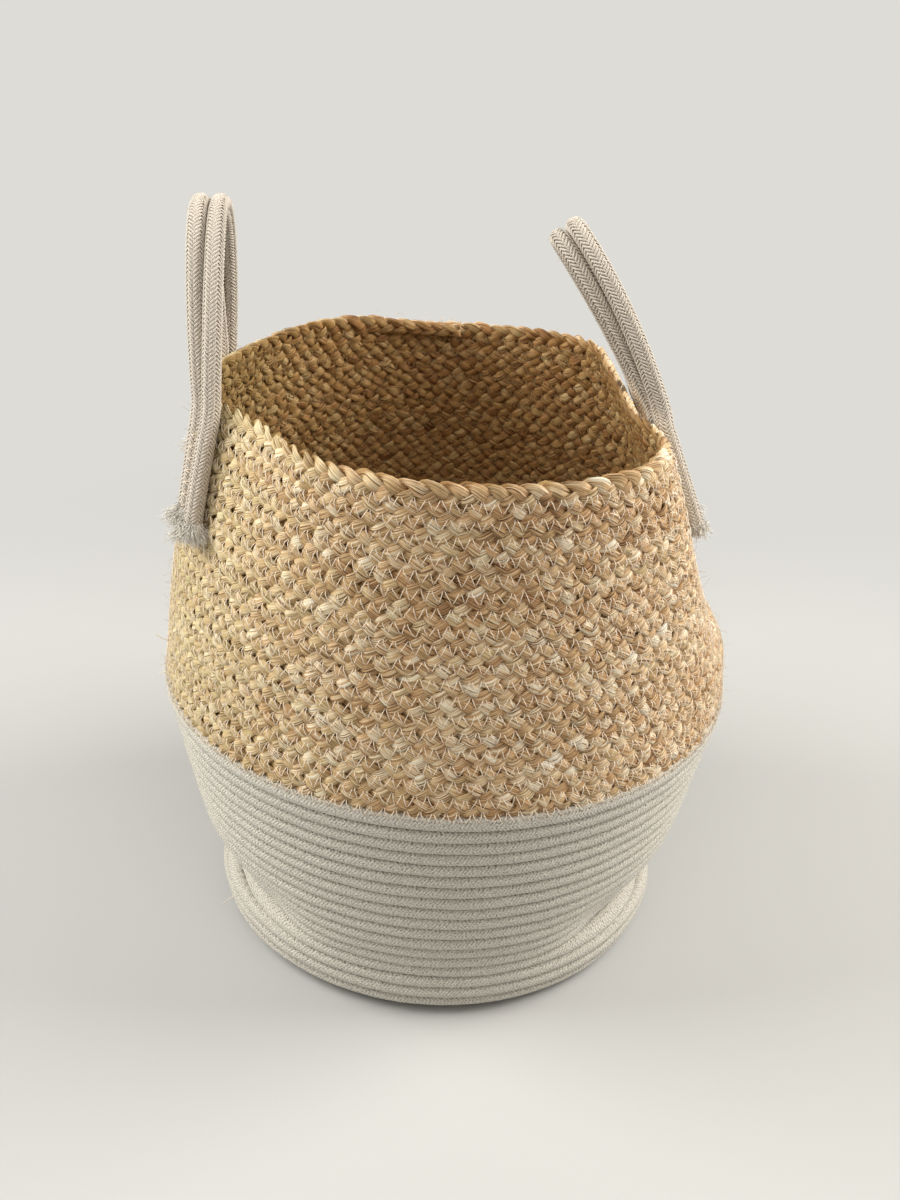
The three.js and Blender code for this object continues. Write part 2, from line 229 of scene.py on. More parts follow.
# Each zigzag: how far off the wall it lies, the share of that left where it dives in, its reach up
# the wall, and the points of one leg
OUTER_RAFFIA_ZIGZAG = dict(outward=0.0038, sink=0.45, reach=0.0074, points=5)
INNER_RAFFIA_ZIGZAG = dict(outward=-0.0026, sink=0.4, reach=0.0074, points=5)
SEAM_ZIGZAG = dict(outward=0.0046, sink=0.5, reach=0.0056, points=5)
OUTER_COTTON_ZIGZAG = dict(outward=0.0036, sink=0.5, reach=0.0040, points=4)
INNER_COTTON_ZIGZAG = dict(outward=-0.0036, sink=0.5, reach=0.0040, points=4)
LEG_ZIGZAG_REACH = 0.55
LEG_ZIGZAG_MARGIN = 0.004
LEG_ZIGZAG_DIP = 0.0026

# Long thread ends: angle in degrees, place up the wall's line, length and droop
TAILS = [(192, 0.207, 0.009, 0.4), (194, 0.188, 0.006, -0.3), (205, 0.020, 0.010, -0.5)]
TAIL_ROOT = 0.003
TAIL_AIM = 0.010
TAIL_SIDEWAYS = 0.2

# Real sizes of the patterns in the materials
STREAK_WIDTH = 0.0006
STREAK_LENGTH = 0.03
SPLIT_WIDTH = 0.0005
SPLIT_LENGTH = 0.02
HERRINGBONE_WIDTH = 0.0036
HERRINGBONE_PITCH = 0.0022
FLECK_WIDTH = 0.0010
FLECK_LENGTH = 0.0013
TWISTS_PER_METRE = 1500

# How strongly each of them shows
STREAK_CONTRAST = 1.9
SPLIT_RELIEF = 0.5
HERRINGBONE_SLOPE = 1.3
FLECK_TEAR = 0.8
YARN_RELIEF = 0.4

# A small step off the wall, for reading the way out of it
OUT_STEP = 0.001

# How far each tube's UV map is shifted from the one before, so that no two share their streaks
TUBE_SHIFT = 0.037

# The stage. The floor keeps the basket's shadow up to one distance and is plain from another on.
BACKGROUND = "#dedcd7"
PAPER = "#c0c0be"
ROOM = "#f3f0ec"
ROOM_LIGHT = 0.30
FLOOR_SIZE = 80
SHADOW_FADES = 0.35
SHADOW_GONE = 0.95
LIT_POINT = (0, 0, 0.2)

# The camera. Its focal length was measured in pixels of a picture 1200 pixels high.
CAMERA_PLACE = (0.0014, -0.7522, 0.6075)
CAMERA_PITCH = math.radians(27.33)
CAMERA_ROLL = math.radians(2.57)
FOCAL_PIXELS = 1283
PICTURE_PIXELS = 1200
SENSOR = 36

cord_radius = HANDLE_CORD / 2
pair_half = (HANDLE_CORD + PAIR_CLEARANCE) / 2


# Lines and the wall

def smooth_line(points, per_span):
    """A uniform Catmull-Rom line through the points, closely sampled."""
    points = np.asarray(points, float)
    last = len(points) - 1
    t = np.linspace(0, last, per_span * last + 1)
    i = np.minimum(t.astype(int), last - 1)
    f = (t - i)[:, None]
    a, b, c, d = (points[np.clip(i + k, 0, last)] for k in (-1, 0, 1, 2))
    return 0.5 * (2 * b + (c - a) * f + (2 * a - 5 * b + 4 * c - d) * f**2 + (3 * b - a - 3 * c + d) * f**3)


def lengths_along(points):
    """The length run at each point of a line."""
    steps = np.linalg.norm(np.diff(points, axis=0), axis=1)
    return np.concatenate([[0], np.cumsum(steps)])


def evenly(points, step):
    """The same line, sampled at even steps of its length."""
    run = lengths_along(points)
    at = np.linspace(0, run[-1], max(2, int(round(run[-1] / step)) + 1))
    return np.stack([np.interp(at, run, points[:, k]) for k in range(points.shape[1])], 1)


def unit(vectors):
    return vectors / np.maximum(np.linalg.norm(vectors, axis=-1, keepdims=True), 1e-12)


def lerp(a, b, t):
    return a + (b - a) * t


def smooth(t):
    t = np.clip(t, 0, 1)
    return t * t * (3 - 2 * t)


def make_wall_line():
    """The wall's middle line, from the flat base round the foot and up to the rim."""
    foot_height = FOOT_CORNER + COTTON_THICKNESS / 2
    turn = np.radians(np.arange(0, 91, 15))
    foot = np.stack([FLAT_RADIUS + FOOT_CORNER * np.sin(turn),
                     foot_height - FOOT_CORNER * np.cos(turn)], 1)
    middle = [[(FLAT_RADIUS + FOOT_CORNER + CREASE_RADIUS) / 2, (foot_height + CREASE_HEIGHT) / 2]]
    t = LOWER_WALL_POINTS
    lower = np.stack([lerp(CREASE_RADIUS, SEAM_RADIUS, t**LOWER_FLARE),
                      lerp(CREASE_HEIGHT, SEAM_HEIGHT, t)], 1)
    t = UPPER_WALL_POINTS
    upper = np.stack([lerp(BELLY_RADIUS, RIM_RADIUS, t**UPPER_TAPER),
                      lerp(BELLY_HEIGHT, RIM_HEIGHT, t)], 1)
    return smooth_line(np.concatenate([foot, middle, lower, upper]), per_span=60)


wall_line = make_wall_line()
wall_run = lengths_along(wall_line)
wall_length = wall_run[-1]
seam_length = float(np.interp(SEAM_HEIGHT, wall_line[:, 1], wall_run))
rim_slope = unit(wall_line[-1] - wall_line[-5])
cotton_row = seam_length / COTTON_ROWS
raffia_row = (wall_length - seam_length) / RAFFIA_ROWS


def line_at(length):
    """Radius and height of the wall's line. Below zero it runs flat to the middle of the base."""
    held = np.clip(length, 0, wall_length)
    past = np.maximum(length - wall_length, 0)
    radius = np.interp(held, wall_run, wall_line[:, 0]) + np.minimum(length, 0) + past * rim_slope[0]
    return radius, np.interp(held, wall_run, wall_line[:, 1]) + past * rim_slope[1]


def bump_at(angle, middle, width):
    """A smooth bump around the wall: 1 at an angle, fading over a width."""
    away = (angle - middle + 3 * math.pi) % (2 * math.pi) - math.pi
    return np.exp(-((away / width) ** 2))


def wall_points(angle, length, outside):
    """Points of the soft wall: angles around it, lengths up its line and distances outside it."""
    step = 0.0005
    above = line_at(length + step)
    below = line_at(length - step)
    slope = unit(np.stack([above[0] - below[0], above[1] - below[1]], -1))
    radius, height = line_at(length)
    radius = radius + outside * slope[..., 1]
    height = height - outside * slope[..., 0]
    rise = np.maximum(0, (height - BELLY_HEIGHT) / (RIM_HEIGHT - BELLY_HEIGHT))
    lift = MOUTH_OVAL * np.sin(angle) ** 2 + MOUTH_SHIFT * np.cos(angle - MOUTH_SHIFT_ANGLE)
    lift = lift + PULL_DEPTH * bump_at(angle, PULL_ANGLE, PULL_WIDTH)
    lift = lift - DENT_DEPTH * bump_at(angle, DENT_ANGLE, DENT_WIDTH)
    oval = radius + lift * rise**MOUTH_RISE
    facing = np.maximum(1e-6, np.cos(angle - FLAT_SIDE_ANGLE))
    flat = np.maximum(radius + (FLAT_SIDE_DISTANCE - RIM_RADIUS) * rise**FLAT_SIDE_RISE, 1e-3)
    ratio = np.minimum(oval, 1) / flat * facing
    squeezed = oval * (1 + ratio**FLAT_SIDE_SHARPNESS) ** (-1 / FLAT_SIDE_SHARPNESS)
    shaped = lerp(oval, squeezed, np.minimum(1, rise / FLAT_SIDE_START))
    shaped = shaped + CORNER_DEPTH * bump_at(angle, CORNER_ANGLE, CORNER_WIDTH) * rise**MOUTH_RISE
    beside_front = smooth((np.sin(angle) - TUCK_FRONT_LIMIT) / TUCK_FRONT_FADE)
    over = height - TUCK_HEIGHT + TUCK_RISE * np.sin(angle)
    spread = np.where(over > 0, TUCK_ABOVE, TUCK_BELOW)
    shaped = shaped - TUCK_DEPTH * beside_front * np.exp(-((over / spread) ** 2))
    return np.stack([shaped * np.cos(angle), shaped * np.sin(angle), height + 0 * shaped], -1)


def off_wall(angle, length, outside):
    """Points squarely off the wall's middle face, and the way in which the wall runs there."""
    turn, step = 0.01, 0.0005
    low = np.minimum(length, wall_length) - step
    around = unit(wall_points(angle + turn, length, 0) - wall_points(angle - turn, length, 0))
    up = wall_points(angle, low + step, 0) - wall_points(angle, low, 0)
    out = unit(np.cross(around, up))
    return wall_points(angle, length, 0) + out * np.asarray(outside)[..., None], around


def wall_frame(angle, length, outside):
    """Centres along a row with the row's own directions: up the wall, and out of it."""
    centre = wall_points(angle, length, outside)
    along = unit(np.gradient(centre, axis=0))
    step = 0.002
    up = wall_points(angle, length + step, outside) - wall_points(angle, length - step, outside)
    out = unit(np.cross(up, along))
    return centre, np.cross(along, out), out


def coil_place(turns):
    """Angle and length up the wall of the coil's middle. Turn 0 is at the base's edge."""
    above = seam_length + (turns - COTTON_ROWS) * raffia_row
    return COIL_START - 2 * math.pi * turns, np.where(turns < COTTON_ROWS, turns * cotton_row, above)


def coil_turns(first, last, step):
    """Turns of the coil at even steps of length, and the length run at each."""
    turns = np.linspace(first, last, int((last - first) * 360) + 1)
    angle, length = coil_place(turns)
    run = lengths_along(wall_points(angle, length, 0 * turns))
    even = np.linspace(0, run[-1], int(run[-1] / step) + 1)
    return np.interp(even, run, turns), even


# Meshes

def wander(count, spacing, strength, lines=None):
    """Smooth random lines with a knot every so many steps: one, or a stack of several."""
    knots = random.normal(0, 1, (lines or 1, int(count / spacing) + 3))
    at = np.arange(count) / spacing
    i = at.astype(int)
    made = strength * lerp(knots[:, i], knots[:, i + 1], smooth(at - i))
    return made if lines else made[0]


def sweep(paths, facing, widths, depths, sides, section=1):
    """Closed tubes along many paths at once. Paths and facing are (tubes, points, 3); widths and
    depths are half sizes across and toward facing; section scales the outline's corners. Gives
    points, quads, triangles and quad UVs, in metres and shifted from tube to tube."""
    paths = np.asarray(paths, float)
    tubes, count = paths.shape[:2]
    along = unit(np.gradient(paths, axis=1))
    side = unit(np.cross(along, np.broadcast_to(facing, paths.shape)))
    up = np.cross(side, along)
    turn = 2 * math.pi * np.arange(sides) / sides
    w = np.broadcast_to(widths, (tubes, count))[..., None, None]
    d = np.broadcast_to(depths, (tubes, count))[..., None, None]
    ring = w * np.cos(turn)[:, None] * side[:, :, None] + d * np.sin(turn)[:, None] * up[:, :, None]
    ring = ring * np.broadcast_to(section, (tubes, count, sides))[..., None]
    points = (paths[:, :, None] + ring).reshape(-1, 3)
    first = (np.arange(tubes)[:, None, None] * count + np.arange(count - 1)[:, None]) * sides
    k = np.arange(sides)
    after = (k + 1) % sides
    quads = np.stack([first + k, first + sides + k, first + sides + after, first + after], -1).reshape(-1, 4)
    fan = np.stack([0 * k[1:-1], k[1:-1], k[1:-1] + 1], -1)
    start = (np.arange(tubes) * count * sides)[:, None, None]
    caps = np.concatenate([start + fan, start + (count - 1) * sides + fan[:, ::-1]], 1).reshape(-1, 3)
    step = np.linalg.norm(np.diff(paths, axis=1), axis=2)
    run = np.concatenate([np.zeros((tubes, 1)), np.cumsum(step, 1)], 1)
    around = math.pi * float(np.mean(w) + np.mean(d)) / sides
    v0 = np.broadcast_to(run[:, :-1, None], (tubes, count - 1, sides))
    v1 = np.broadcast_to(run[:, 1:, None], (tubes, count - 1, sides))
    u0 = np.broadcast_to(k * around, v0.shape) + TUBE_SHIFT * np.arange(tubes)[:, None, None]
    uv = np.stack([u0, v0, u0, v1, u0 + around, v1, u0 + around, v0], -1).reshape(-1, 8)
    return points, quads, caps, uv


def build(name, parts, material, attributes=()):
    """One mesh object from several swept parts. Attributes are (name, values for every point)."""
    points, quads, caps, uvs = [], [], [], []
    base = 0
    for part in parts:
        points.append(part[0])
        quads.append(part[1] + base)
        caps.append(part[2] + base)
        uvs.append(part[3])
        base += len(part[0])
    points, quads, caps, uvs = (np.concatenate(x) for x in (points, quads, caps, uvs))
    mesh = bpy.data.meshes.new(name)
    mesh.vertices.add(len(points))
    mesh.vertices.foreach_set("co", points.astype(np.float32).ravel())
    corners = np.concatenate([quads.ravel(), caps.ravel()])
    mesh.loops.add(len(corners))
    mesh.loops.foreach_set("vertex_index", corners.astype(np.int32))
    starts = np.concatenate([np.arange(len(quads)) * 4, quads.size + np.arange(len(caps)) * 3])
    mesh.polygons.add(len(starts))
    mesh.polygons.foreach_set("loop_start", starts.astype(np.int32))
    mesh.polygons.foreach_set("use_smooth", np.ones(len(starts), bool))
    layer = mesh.uv_layers.new(name="UVMap")
    flat = np.concatenate([uvs.ravel(), np.zeros(caps.size * 2)])
    layer.data.foreach_set("uv", flat.astype(np.float32))
    for label, values in attributes:
        data = mesh.attributes.new(label, "FLOAT", "POINT")
        data.data.foreach_set("value", np.asarray(values, np.float32))
    mesh.update(calc_edges=True)
    mesh.materials.append(material)
    made = bpy.data.objects.new(name, mesh)
    bpy.context.scene.collection.objects.link(made)
    return made


def rides(piece, slot, *nodes):
    """The piece stays with the basket and stands for the CAD nodes. Its slot is not used."""
    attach(piece, "basket")
    if nodes:
        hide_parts(*nodes)


# Materials

def linear(hex_colour):
    """An sRGB hex colour as the linear RGBA that Blender's sockets take."""
    values = [int(hex_colour[i:i + 2], 16) / 255 for i in (1, 3, 5)]
    return [v / 12.92 if v <= 0.04045 else ((v + 0.055) / 1.055) ** 2.4 for v in values] + [1]


def add_node(tree, kind, inputs=(), stops=(), **settings):
    """Adds a node with its settings, and sets or links its inputs by name or number."""
    made = tree.nodes.new(kind)
    for key, value in settings.items():
        setattr(made, key, value)
    for key, value in dict(inputs).items():
        if isinstance(value, bpy.types.NodeSocket):
            tree.links.new(value, made.inputs[key])
        else:
            made.inputs[key].default_value = value
    if stops:
        elements = made.color_ramp.elements
        while len(elements) < len(stops):
            elements.new(0.5)
        for element, (position, colour) in zip(elements, stops):
            element.position = position
            element.color = linear(colour)
    return made


def new_material(name):
    made = bpy.data.materials.new(name)
    made.use_nodes = True
    made.node_tree.nodes.clear()
    return made, made.node_tree


def raffia_material():
    """Dried raffia palm leaf, split and braided: each strip has its own tan, with long streaks and
    thin dark splits along it and a slight waxy gloss. Painted shade makes it darker and browner
    deep between the strands and on the side that faces into the basket."""
    made, tree = new_material("dried raffia leaf")
    uv = add_node(tree, "ShaderNodeUVMap", uv_map="UVMap").outputs[0]
    # inside is the mask for painted shade: deep in the braid and on the face towards the basket's inside
    tone, green, inside = (add_node(tree, "ShaderNodeAttribute", attribute_name=name).outputs["Fac"]
                           for name in ("tone", "green", "inside"))
    streak_space = add_node(tree, "ShaderNodeMapping", {
        "Vector": uv, "Scale": (1 / STREAK_WIDTH, 1 / STREAK_LENGTH, 1)}).outputs[0]
    streak = add_node(tree, "ShaderNodeTexNoise", {
        "Vector": streak_space, "Scale": 1, "Detail": 3, "Roughness": 0.6}).outputs[0]
    split_space = add_node(tree, "ShaderNodeMapping", {
        "Vector": uv, "Scale": (1 / SPLIT_WIDTH, 1 / SPLIT_LENGTH, 1)}).outputs[0]
    fibre = add_node(tree, "ShaderNodeTexNoise", {"Vector": split_space, "Scale": 1, "Detail": 1}).outputs[0]
    whole = add_node(tree, "ShaderNodeMapRange", {
        "Value": fibre, "From Min": 0.32, "From Max": 0.42, "To Min": 0, "To Max": 1}).outputs[0]
    shade = add_node(tree, "ShaderNodeMath", {0: streak, 1: 0.5}, operation="SUBTRACT").outputs[0]
    toned = add_node(tree, "ShaderNodeMath", {0: shade, 1: STREAK_CONTRAST, 2: tone},
                     operation="MULTIPLY_ADD").outputs[0]
    leaf = add_node(tree, "ShaderNodeValToRGB", {"Fac": toned}, stops=[
        (0.0, "#664526"), (0.28, "#b48a5c"), (0.5, "#d8b282"),
        (0.72, "#f3e3c4"), (1.0, "#fcf6e8")]).outputs[0]
    greener = add_node(tree, "ShaderNodeMix", {"Factor": green, 6: leaf, 7: linear("#d2c894")},
                       data_type="RGBA").outputs[2]
    # Painted shade: the leaf is multiplied darker and browner where the strand lies deep in the braid and
    # inside the basket
    shaded_deep = add_node(tree, "ShaderNodeMix", {"Factor": inside, 6: greener, 7: linear("#cdb994")},
                       data_type="RGBA", blend_type="MULTIPLY").outputs[2]
    darker = add_node(tree, "ShaderNodeMix", {"Factor": 1.0, 6: shaded_deep, 7: linear("#8f7350")},
                      data_type="RGBA", blend_type="MULTIPLY").outputs[2]
    colour = add_node(tree, "ShaderNodeMix", {"Factor": whole, 6: darker, 7: shaded_deep},
                      data_type="RGBA").outputs[2]
    height = add_node(tree, "ShaderNodeMath", {0: whole, 1: SPLIT_RELIEF, 2: streak},
                      operation="MULTIPLY_ADD").outputs[0]
    bump = add_node(tree, "ShaderNodeBump", {"Strength": 0.8, "Distance": 0.0007, "Height": height})
    rough = add_node(tree, "ShaderNodeMapRange", {"Value": streak, "To Min": 0.45, "To Max": 0.7}).outputs[0]
    shader = add_node(tree, "ShaderNodeBsdfPrincipled", {
        "Base Color": colour, "Roughness": rough, "IOR": 1.45, "Normal": bump.outputs[0]})
    add_node(tree, "ShaderNodeOutputMaterial", {"Surface": shader.outputs[0]})
    return made


def cotton_material(name, pale, dark, yarn):
    """Spun cotton: matt and slightly woolly, with light and dark flecks as large as a yarn."""
    made, tree = new_material(name)
    uv = add_node(tree, "ShaderNodeUVMap", uv_map="UVMap").outputs[0]
    fleck_space = add_node(tree, "ShaderNodeMapping", {
        "Vector": uv, "Scale": (1 / yarn, 0.6 / yarn, 1)}).outputs[0]
    fleck = add_node(tree, "ShaderNodeTexNoise", {"Vector": fleck_space, "Scale": 1, "Detail": 3}).outputs[0]
    colour = add_node(tree, "ShaderNodeValToRGB", {"Fac": fleck}, stops=[(0.3, dark), (0.7, pale)])
    bump = add_node(tree, "ShaderNodeBump", {"Strength": 0.8, "Distance": 0.0006, "Height": fleck})
    shader = add_node(tree, "ShaderNodeBsdfPrincipled", {
        "Base Color": colour.outputs[0], "Roughness": 0.95, "Sheen Weight": 0.2, "Sheen Roughness": 0.6,
        "IOR": 1.4, "Normal": bump.outputs[0]})
    add_node(tree, "ShaderNodeOutputMaterial", {"Surface": shader.outputs[0]})
    return made


def braided_cotton_material():
    """Braided cotton cord, sewn flat: heathered flecks of light and shaded yarn a millimetre or so
    across, in a faint herringbone drawn on the coil's UV map."""
    made, tree = new_material("braided cotton cord")
    uv = add_node(tree, "ShaderNodeUVMap", uv_map="UVMap").outputs[0]
    place = add_node(tree, "ShaderNodeSeparateXYZ", {"Vector": uv})
    across = add_node(tree, "ShaderNodeMath", {0: place.outputs[0], 1: 1 / HERRINGBONE_WIDTH},
                      operation="MULTIPLY").outputs[0]
    zigzag = add_node(tree, "ShaderNodeMath", {0: across, 1: 1}, operation="PINGPONG").outputs[0]
    along = add_node(tree, "ShaderNodeMath", {0: place.outputs[1], 1: 1 / HERRINGBONE_PITCH},
                     operation="MULTIPLY").outputs[0]
    slope = add_node(tree, "ShaderNodeMath", {0: zigzag, 1: HERRINGBONE_SLOPE, 2: along},
                     operation="MULTIPLY_ADD").outputs[0]
    fleck_space = add_node(tree, "ShaderNodeMapping", {
        "Vector": uv, "Scale": (1 / FLECK_WIDTH, 1 / FLECK_LENGTH, 1)}).outputs[0]
    fleck = add_node(tree, "ShaderNodeTexNoise", {
        "Vector": fleck_space, "Scale": 1, "Detail": 3, "Roughness": 0.6}).outputs[0]
    torn = add_node(tree, "ShaderNodeMath", {0: fleck, 1: FLECK_TEAR, 2: slope},
                    operation="MULTIPLY_ADD").outputs[0]
    yarns = add_node(tree, "ShaderNodeMath", {0: torn, 1: 0.5}, operation="PINGPONG").outputs[0]
    height = add_node(tree, "ShaderNodeMath", {0: yarns, 1: YARN_RELIEF, 2: fleck},
                      operation="MULTIPLY_ADD").outputs[0]
    colour = add_node(tree, "ShaderNodeValToRGB", {"Fac": height}, stops=[
        (0.38, "#7f786c"), (0.58, "#c9c3b6"), (0.8, "#eee9dd")])
    bump = add_node(tree, "ShaderNodeBump", {"Strength": 0.9, "Distance": 0.0010, "Height": height})
    shader = add_node(tree, "ShaderNodeBsdfPrincipled", {
        "Base Color": colour.outputs[0], "Roughness": 0.95, "Sheen Weight": 0.2, "Sheen Roughness": 0.6,
        "IOR": 1.4, "Normal": bump.outputs[0]})
    add_node(tree, "ShaderNodeOutputMaterial", {"Surface": shader.outputs[0]})
    return made


def thread_material(name, dark, pale):
    """Polyester sewing thread: twisted and slightly silky, so it catches the light."""
    made, tree = new_material(name)
    uv = add_node(tree, "ShaderNodeUVMap", uv_map="UVMap").outputs[0]
    twist_space = add_node(tree, "ShaderNodeMapping", {
        "Vector": uv, "Rotation": (0, 0, 0.9), "Scale": (TWISTS_PER_METRE, TWISTS_PER_METRE, 1)}).outputs[0]
    twist = add_node(tree, "ShaderNodeTexWave", {"Vector": twist_space, "Scale": 1, "Distortion": 1})
    colour = add_node(tree, "ShaderNodeMix", {"Factor": twist.outputs[1], 6: linear(dark), 7: linear(pale)},
                      data_type="RGBA").outputs[2]
    shader = add_node(tree, "ShaderNodeBsdfPrincipled", {"Base Color": colour, "Roughness": 0.5, "IOR": 1.5})
    add_node(tree, "ShaderNodeOutputMaterial", {"Surface": shader.outputs[0]})
    return made


RAFFIA = raffia_material()
COTTON = braided_cotton_material()
YARN = cotton_material("spun cotton yarn", "#e8dfd2", "#c2b6a5", yarn=0.0007)
FIBRE = cotton_material("loose cotton fibre", "#f6f2ea", "#e2dcd0", yarn=0.002)
HAIR = cotton_material("split raffia hair", "#e3cfa4", "#b08c5c", yarn=0.002)
SEWING = thread_material("off-white sewing thread", "#e6d2b8", "#fbeedb")
UNDER_THREAD = thread_material("tan sewing thread", "#a98a5e", "#c4a878")


# The coil of cotton cord

def cotton_coil():
    """One flat cord, parted at the foot: the base's spiral and the wall's rows."""
    turns = coil_turns(COTTON_FIRST_TURN - FLAT_RADIUS / cotton_row, COTTON_ROWS, COTTON_STEP)[0]
    count = len(turns)
    angle, length = coil_place(turns)
    centre, up, out = wall_frame(angle, length, 0 * turns)
    centre = centre + up * wander(count, *COTTON_UP_WANDER)[:, None]
    centre = centre + out * wander(count, *COTTON_OUT_WANDER)[:, None]
    end = smooth((COTTON_ROWS - turns) / END_TAPER_TURNS)
    upper = wall_points(angle, length + cotton_row / 2, 0 * turns)
    lower = wall_points(angle, length - cotton_row / 2, 0 * turns)
    stretch = np.clip(np.linalg.norm(upper - lower, axis=-1) / cotton_row, 1, STRETCH_LIMIT)
    half_up = cotton_row / 2 * (1 + STRETCH_GAIN * (stretch - 1)) + COTTON_OVERLAP
    half_up = half_up * lerp(END_HEIGHT, 1, end)
    half_out = COTTON_THICKNESS / 2 * lerp(END_THICKNESS, 1, end)
    half_out = half_out * (1 + wander(count, *COTTON_THICKNESS_WANDER))
    turn = 2 * math.pi * np.arange(COTTON_SIDES) / COTTON_SIDES
    corners = np.abs(np.cos(turn)) ** COTTON_SQUARENESS + np.abs(np.sin(turn)) ** COTTON_SQUARENESS
    pressed = COTTON_SHRINK * corners ** (-1 / COTTON_SQUARENESS)
    edge = int(np.searchsorted(turns, 0))
    for name, node, rows in (("cotton_base_coil", "cotton_base", slice(0, edge + 1)),
                             ("cotton_wall_coil", "cotton_wall", slice(edge, count))):
        lumps = random.normal(0, COTTON_LUMPS, (1, len(turns[rows]), COTTON_SIDES))
        section = pressed + np.minimum(lumps, COTTON_LUMP_LIMIT)
        mesh = sweep(centre[None, rows], out[None, rows], half_up[None, rows], half_out[None, rows],
                     COTTON_SIDES, section)
        mesh[0][:, 2] = np.maximum(mesh[0][:, 2], FLOOR_GAP)
        rides(build(name, [mesh], COTTON), "cotton_coil", node)


# The braid of raffia

def raffia_braid():
    """Three flat strands of leaf that swing from side to side, each over the next, in four lengths."""
    last = COTTON_ROWS + RAFFIA_ROWS
    turns, run = coil_turns(COTTON_ROWS - BRAID_EARLY_TURNS, last, STRAND_STEP)
    count = len(turns)
    angle, length = coil_place(turns)
    tucked = 1 - smooth((last - turns) / TUCKED_TURNS)
    length = length - raffia_row * TUCKED_DOWN * tucked + wander(count, *BRAID_HEIGHT_WANDER)
    centre, up, out = wall_frame(angle, length, -TUCKED_IN * tucked)
    size = smooth((turns - COTTON_ROWS + BRAID_EARLY_TURNS) / END_TAPER_TURNS)
    size = lerp(END_HEIGHT, 1, size) * lerp(1, TUCKED_SIZE, tucked)
    phase = 2 * math.pi * (run / BRAID_PERIOD + np.arange(STRANDS)[:, None] / STRANDS)
    phase = phase + wander(count, *BRAID_PHASE_WANDER) + wander(count, *STRAND_PHASE_WANDER, STRANDS)
    reach = (BRAID_REACH + wander(count, *STRAND_PLACE_WANDER, STRANDS)) * size
    depth = (BRAID_DEPTH + wander(count, *STRAND_PLACE_WANDER, STRANDS)) * size
    swing = np.sin(phase) + BRAID_SKEW * np.cos(2 * phase) - BRAID_FOLD * np.sin(3 * phase)
    over = np.sin(2 * phase + BRAID_DIVE)
    lateral = reach * swing
    proud = depth * over + wander(count, *STRAND_LIFT_WANDER, STRANDS)
    paths = centre + up * lateral[..., None] + out * proud[..., None]
    width = STRAND_WIDTH / 2 * (STRAND_NARROWEST + STRAND_WIDENING * np.abs(over))
    width = width * (1 + wander(count, *STRAND_WIDTH_WANDER, STRANDS)) * size
    thick = STRAND_THICKNESS / 2 * (1 + wander(count, *STRAND_THICKNESS_WANDER, STRANDS)) * size
    roll = wander(count, *STRAND_ROLL_WANDER, STRANDS) + STRAND_ROLL * np.cos(phase)
    facing = unit(out + up * roll[..., None])
    tone = MIDDLE_TONE
    for scale in TONE_WANDERS:
        tone = tone + wander(count, *scale, STRANDS)
    at_left = bump_at(angle, PULL_ANGLE, GREEN_LEFT_WIDTH)
    green = np.clip(wander(count, *GREEN_WANDER, STRANDS) + GREEN_LEFT * at_left, 0, GREEN_LIMIT)
    turn = 2 * math.pi * np.arange(STRAND_SIDES) / STRAND_SIDES
    twist = wander(count, *LEAF_FOLD_WANDER, STRANDS)[..., None]
    folds = LEAF_FOLD_DEPTH * np.cos(LEAF_FOLDS * turn + twist)
    folds = folds + np.stack([wander(count, *LEAF_LUMP_WANDER, STRANDS) for _ in range(STRAND_SIDES)], -1)
    edges = np.linspace(0, count - 1, BRAID_LENGTHS + 1).astype(int)
    for i in range(BRAID_LENGTHS):
        rows = slice(edges[i], edges[i + 1] + 1)
        mesh = sweep(paths[:, rows], facing[:, rows], width[:, rows], thick[:, rows], STRAND_SIDES,
                     1 + folds[:, rows])
        # Mask for painted shade: how far each point of a strand lies in from the braid's middle, so deep
        # parts and the inner face darken
        outline = mesh[0].reshape(STRANDS, -1, STRAND_SIDES, 3) - centre[None, rows, None]
        inward = -(outline * out[rows, None]).sum(-1) / (STRAND_THICKNESS / 2)
        spread = np.ones(STRAND_SIDES)
        piece = build(f"raffia_braid_{i + 1}", [mesh], RAFFIA, [
            ("tone", (tone[:, rows, None] * spread).ravel()),
            ("green", (green[:, rows, None] * spread).ravel()),
            ("inside", smooth(0.5 + inward).ravel())])
        rides(piece, "raffia", "raffia_wall")


# Zigzag stitching

def zigzag(turns, shift, outward, sink, reach, points):
    """Stitch legs, each its own short thread, along the boundary between two rows. Each dives in at
    its ends. Its holes along the top are a little apart."""
    angle, length = coil_place(turns)
    count = len(turns)
    top = np.arange(count) % 2 == 0
    length = length + shift + np.where(top, 0.5, -0.5) * reach
    length = length + random.normal(0, STITCH_SCATTER_UP, count)
    gap = STITCH_TOP_GAP / 2 / SEAM_RADIUS
    t = np.linspace(0, 1, points)
    a = lerp((angle - gap * top)[:-1, None], (angle + gap * top)[1:, None], t)
    s = lerp(length[:-1, None], length[1:, None], t)
    ends = np.clip(np.minimum(t, 1 - t) / STITCH_DIVE, 0, 1)
    off = outward * lerp(sink, 1, ends**STITCH_ROUNDNESS) + 0 * a
    paths = wall_points(a, s, off)
    above = wall_points(a, s, off + np.sign(outward) * OUT_STEP)
    return paths, unit(above - paths)


def stitch_turns(first, last):
    """Turns of the coil at each stitch hole, a little scattered."""
    turns = coil_turns(first, last, STITCH_PITCH / 2)[0]
    return turns + random.normal(0, STITCH_SCATTER_ALONG, len(turns)) / (2 * math.pi * MEAN_RADIUS)


